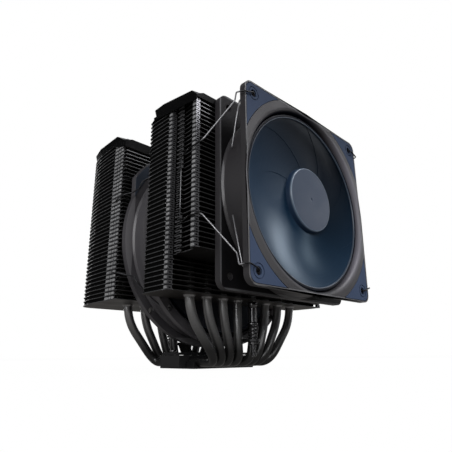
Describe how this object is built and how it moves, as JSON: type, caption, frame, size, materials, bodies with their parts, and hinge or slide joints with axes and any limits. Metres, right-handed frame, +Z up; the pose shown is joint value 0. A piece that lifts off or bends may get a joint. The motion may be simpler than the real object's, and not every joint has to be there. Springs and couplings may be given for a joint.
{
  "type": "cpu tower cooler",
  "caption": "Dual tower air cooler for a processor: finned stacks on looped heat pipes, a front and a middle fan held by wire clips, and a base with sprung mounting screws.",
  "frame": {"origin": "centre of the base plate's underside, the face that rests on the processor", "axes": "+Z up from the processor, +Y along the air flow from the front fan to the rear tower, +X to the right seen from the front fan"},
  "size_m": [0.1518, 0.1665, 0.1658],
  "materials": {
    "fin_black": "black coated thin sheet, satin",
    "pipe_black": "black satin coating over copper",
    "cover_black": "black brushed and coated",
    "base_metal": "dark plated, machined",
    "block_black": "black coated, machined",
    "crossbar_steel": "dark plated",
    "bright_steel": "bright plated",
    "wire_steel": "drawn spring wire",
    "frame_plastic": "fine grained",
    "rotor_plastic": "semi gloss deep blue",
    "pad_rubber": "matt slate blue",
    "magnet_steel": "sintered magnet in a steel ring",
    "stator_copper": "enamelled copper windings",
    "bearing_brass": "sintered bronze sleeve",
    "circuit_green": "solder resist"
  },
  "bodies": {
    "cooler": {"base_plate": "base_metal", "base_clamp_block": "block_black", "mounting_crossbar": "crossbar_steel", "crossbar_screw_left": "bright_steel", "crossbar_screw_right": "bright_steel", "heat_pipe_1": "pipe_black", "heat_pipe_2": "pipe_black", "heat_pipe_3": "pipe_black", "heat_pipe_4": "pipe_black", "heat_pipe_5": "pipe_black", "heat_pipe_6": "pipe_black", "heat_pipe_7": "pipe_black", "heat_pipe_8": "pipe_black", "front_fin_stack": "fin_black", "rear_fin_stack": "fin_black", "front_top_cover": "cover_black", "rear_top_cover": "cover_black", "front_fan_frame": "frame_plastic", "middle_fan_frame": "frame_plastic", "front_pad_top_left": "pad_rubber", "front_pad_top_right": "pad_rubber", "front_pad_bottom_left": "pad_rubber", "front_pad_bottom_right": "pad_rubber", "front_fan_bearing": "bearing_brass", "front_fan_stator": "stator_copper", "front_fan_circuit_board": "circuit_green", "middle_fan_bearing": "bearing_brass", "middle_fan_stator": "stator_copper", "middle_fan_circuit_board": "circuit_green", "screw_spring_front": "bright_steel", "screw_spring_rear": "bright_steel"},
    "front_rotor": {"front_fan_rotor": "rotor_plastic", "front_fan_shaft": "bright_steel", "front_fan_magnet_ring": "magnet_steel"},
    "middle_rotor": {"middle_fan_rotor": "rotor_plastic", "middle_fan_shaft": "bright_steel", "middle_fan_magnet_ring": "magnet_steel"},
    "front_clip_left": {"front_fan_clip_left": "wire_steel"},
    "front_clip_right": {"front_fan_clip_right": "wire_steel"},
    "middle_clip_left": {"middle_fan_clip_left": "wire_steel"},
    "middle_clip_right": {"middle_fan_clip_right": "wire_steel"},
    "front_screw_washer": {"screw_washer_front": "bright_steel"},
    "front_screw": {"spring_screw_front": "bright_steel"},
    "rear_screw_washer": {"screw_washer_rear": "bright_steel"},
    "rear_screw": {"spring_screw_rear": "bright_steel"}
  },
  "joints": [
    {"name": "front_fan_spin", "type": "hinge", "parent": "cooler", "child": "front_rotor", "pos_m": [0, -0.098, 0.1017], "axis": [0, 1, 0], "continuous": true},
    {"name": "middle_fan_spin", "type": "hinge", "parent": "cooler", "child": "middle_rotor", "pos_m": [0, -0.0195, 0.0867], "axis": [0, 1, 0], "continuous": true},
    {"name": "front_clip_left_release", "type": "hinge", "parent": "cooler", "child": "front_clip_left", "pos_m": [-0.0525, -0.096, 0.1017], "axis": [0, 0, 1], "range_deg": [0, 12]},
    {"name": "front_clip_right_release", "type": "hinge", "parent": "cooler", "child": "front_clip_right", "pos_m": [0.0525, -0.096, 0.1017], "axis": [0, 0, -1], "range_deg": [0, 12]},
    {"name": "middle_clip_left_release", "type": "hinge", "parent": "cooler", "child": "middle_clip_left", "pos_m": [-0.0492, -0.017, 0.0867], "axis": [0, 0, 1], "range_deg": [0, 12]},
    {"name": "middle_clip_right_release", "type": "hinge", "parent": "cooler", "child": "middle_clip_right", "pos_m": [0.0492, -0.017, 0.0867], "axis": [0, 0, -1], "range_deg": [0, 12]},
    {"name": "front_screw_travel", "type": "slide", "parent": "cooler", "child": "front_screw_washer", "axis": [0, 0, 1], "range_m": [-0.004, 0], "deforming": ["screw_spring_front"]},
    {"name": "front_screw_turn", "type": "hinge", "parent": "front_screw_washer", "child": "front_screw", "pos_m": [0, -0.045, 0.03], "axis": [0, 0, 1], "continuous": true},
    {"name": "rear_screw_travel", "type": "slide", "parent": "cooler", "child": "rear_screw_washer", "axis": [0, 0, 1], "range_m": [-0.004, 0], "deforming": ["screw_spring_rear"]},
    {"name": "rear_screw_turn", "type": "hinge", "parent": "rear_screw_washer", "child": "rear_screw", "pos_m": [0, 0.045, 0.03], "axis": [0, 0, 1], "continuous": true}
  ]
}
